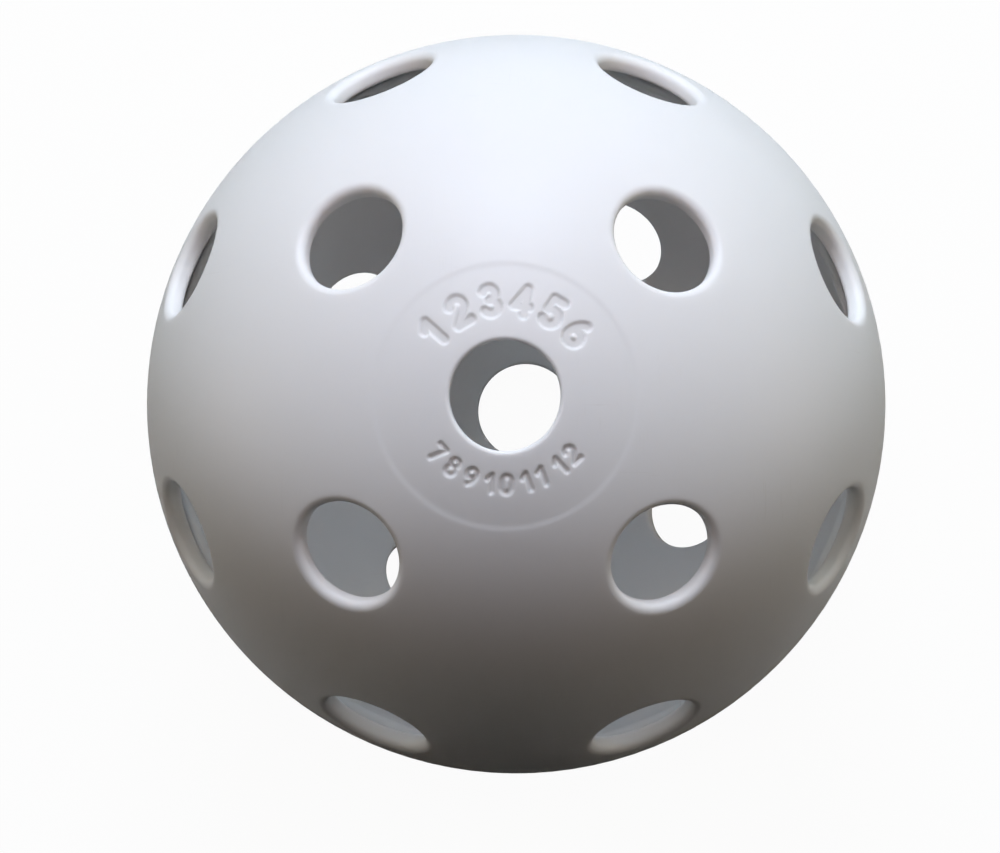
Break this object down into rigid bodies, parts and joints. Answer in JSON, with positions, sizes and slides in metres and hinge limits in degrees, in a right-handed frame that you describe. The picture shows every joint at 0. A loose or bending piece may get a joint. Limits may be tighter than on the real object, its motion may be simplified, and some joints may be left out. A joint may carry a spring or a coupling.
{
  "type": "floorball ball",
  "caption": "Hollow, perforated plastic ball for floorball, made of two moulded half shells welded together round the middle.",
  "frame": {"origin": "centre of the ball", "axes": "+Z from the centre out through the pole hole of the front half, which has the marking plate, square to the weld; +X and +Y each point midway between two holes of the front half's upper ring"},
  "size_m": [0.072, 0.072, 0.071],
  "materials": {
    "shell_plastic": "white polyethylene, moulded satin, softly rounded at every hole",
    "weld_plastic": "the same white plastic, melted and set again, a little glossier inside and trimmed matt outside"
  },
  "bodies": {
    "root": {"front_half": "shell_plastic", "rear_half": "shell_plastic", "weld_bead": "weld_plastic"}
  },
  "joints": []
}
